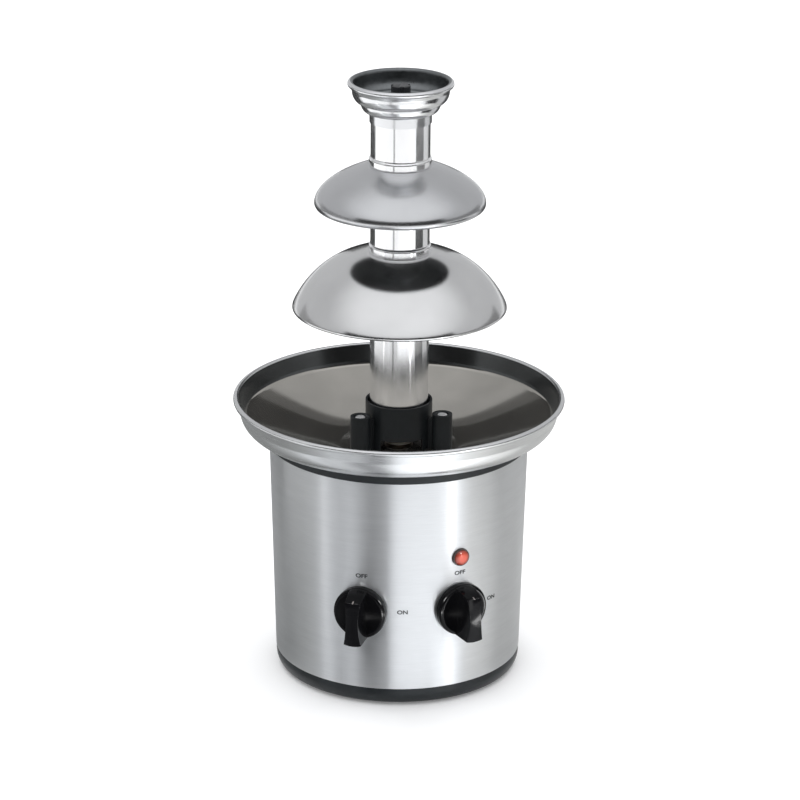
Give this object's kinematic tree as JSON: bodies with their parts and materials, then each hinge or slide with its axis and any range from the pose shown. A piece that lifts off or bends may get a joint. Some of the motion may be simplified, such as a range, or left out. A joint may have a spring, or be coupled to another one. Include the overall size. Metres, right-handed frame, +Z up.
{
  "type": "chocolate fountain",
  "caption": "Tiered chocolate fountain: a heated bowl on a brushed steel drum with front knobs and a lamp, a lift-off tower of domes, and a gear-driven auger that lifts the chocolate.",
  "frame": {"origin": "centre of the footprint on the table, level with the soles of the rubber feet", "axes": "+Z up along the tower, -Y towards the front with the knobs and the lamp, +X to the right seen from the front"},
  "size_m": [0.215, 0.215, 0.395],
  "materials": {
    "drum_steel": "brushed round the drum",
    "tier_steel": "satin polished",
    "polished_steel": "mirror polished",
    "bowl_metal": "satin outside, dark glossy non-stick coat inside",
    "black_plastic": "satin moulded",
    "auger_plastic": "satin moulded",
    "knob_plastic": "polished",
    "switch_plastic": "moulded",
    "foot_rubber": "matt",
    "seal_rubber": "matt silicone",
    "plate_steel": "zinc plated",
    "fastener_steel": "bright plated",
    "shaft_steel": "ground",
    "gearbox_metal": "die cast",
    "lamination_steel": "stacked sheets",
    "coil_wire": "lacquered copper wire",
    "turned_brass": "turned",
    "gear_nylon": "moulded",
    "block_nylon": "moulded",
    "lamp_lens": "clear red, polished",
    "lamp_bezel": "polished",
    "lamp_plastic": "moulded",
    "heater_metal": "machined",
    "heater_sheath": "heat darkened",
    "sensor_ceramic": "moulded",
    "fuse_can": "drawn"
  },
  "bodies": {
    "base": {"rubber_feet": "foot_rubber", "base_ring": "black_plastic", "bottom_plate": "plate_steel", "base_screws": "fastener_steel", "housing_shell": "drum_steel", "top_ring": "black_plastic", "bowl": "bowl_metal", "locating_pins": "fastener_steel", "pin_nuts": "fastener_steel", "heater_plate": "heater_metal", "heater_element": "heater_sheath", "thermostat": "sensor_ceramic", "thermal_fuse": "fuse_can", "shaft_bush": "turned_brass", "bush_nut": "turned_brass", "shaft_seal": "seal_rubber", "motor_bracket": "plate_steel", "bracket_screws": "fastener_steel", "gearbox_cover": "gearbox_metal", "gearbox_case": "gearbox_metal", "gearbox_screws": "fastener_steel", "idler_pin": "shaft_steel", "stator_stack": "lamination_steel", "stator_coil": "coil_wire", "motor_bridge": "plate_steel", "motor_spacers": "fastener_steel", "motor_screws": "fastener_steel", "motor_switch": "switch_plastic", "heat_switch": "switch_plastic", "switch_nuts": "fastener_steel", "pilot_bezel": "lamp_bezel", "pilot_lens": "lamp_lens", "pilot_body": "lamp_plastic", "pilot_clip": "fastener_steel", "cord_gland": "black_plastic", "gland_nut": "black_plastic", "terminal_block": "block_nylon"},
    "rotor": {"rotor": "lamination_steel", "motor_pinion": "turned_brass"},
    "idler": {"idler_gear": "gear_nylon"},
    "drive": {"output_gear": "gear_nylon", "drive_shaft": "shaft_steel", "drive_dog": "shaft_steel"},
    "auger": {"auger": "auger_plastic"},
    "tower": {"tower_base": "black_plastic", "lower_tube": "polished_steel", "lower_tier": "tier_steel"},
    "tower_mid": {"middle_tube": "polished_steel", "upper_tier": "tier_steel"},
    "tower_top": {"upper_tube": "polished_steel", "crown": "polished_steel"},
    "motor_control": {"motor_knob": "knob_plastic", "motor_spindle": "shaft_steel"},
    "heat_control": {"heat_knob": "knob_plastic", "heat_spindle": "shaft_steel"}
  },
  "joints": [
    {"name": "motor_spin", "type": "hinge", "parent": "base", "child": "rotor", "pos_m": [0.04365, 0.0252, 0.096], "axis": [0, 0, 1], "continuous": true},
    {"name": "idler_spin", "type": "hinge", "parent": "base", "child": "idler", "pos_m": [0.02182, 0.0126, 0.126], "axis": [0, 0, 1], "continuous": true},
    {"name": "drive_spin", "type": "hinge", "parent": "base", "child": "drive", "pos_m": [0, 0, 0.131], "axis": [0, 0, 1], "continuous": true},
    {"name": "auger_lift", "type": "slide", "parent": "drive", "child": "auger", "axis": [0, 0, 1], "range_m": [0, 0.25]},
    {"name": "tower_lift", "type": "slide", "parent": "base", "child": "tower", "axis": [0, 0, 1], "range_m": [0, 0.25]},
    {"name": "mid_lift", "type": "slide", "parent": "tower", "child": "tower_mid", "axis": [0, 0, 1], "range_m": [0, 0.12]},
    {"name": "top_lift", "type": "slide", "parent": "tower_mid", "child": "tower_top", "axis": [0, 0, 1], "range_m": [0, 0.06]},
    {"name": "motor_knob_turn", "type": "hinge", "parent": "base", "child": "motor_control", "pos_m": [-0.03138, -0.07576, 0.0666], "axis": [0.3827, 0.9239, 0], "range_deg": [0, 90]},
    {"name": "heat_knob_turn", "type": "hinge", "parent": "base", "child": "heat_control", "pos_m": [0.03138, -0.07576, 0.0666], "axis": [-0.3827, 0.9239, 0], "range_deg": [0, 90]}
  ],
  "couplings": [
    {"joint": "idler_spin", "follows": "motor_spin", "ratio": -0.28571},
    {"joint": "drive_spin", "follows": "motor_spin", "ratio": 0.081633}
  ]
}
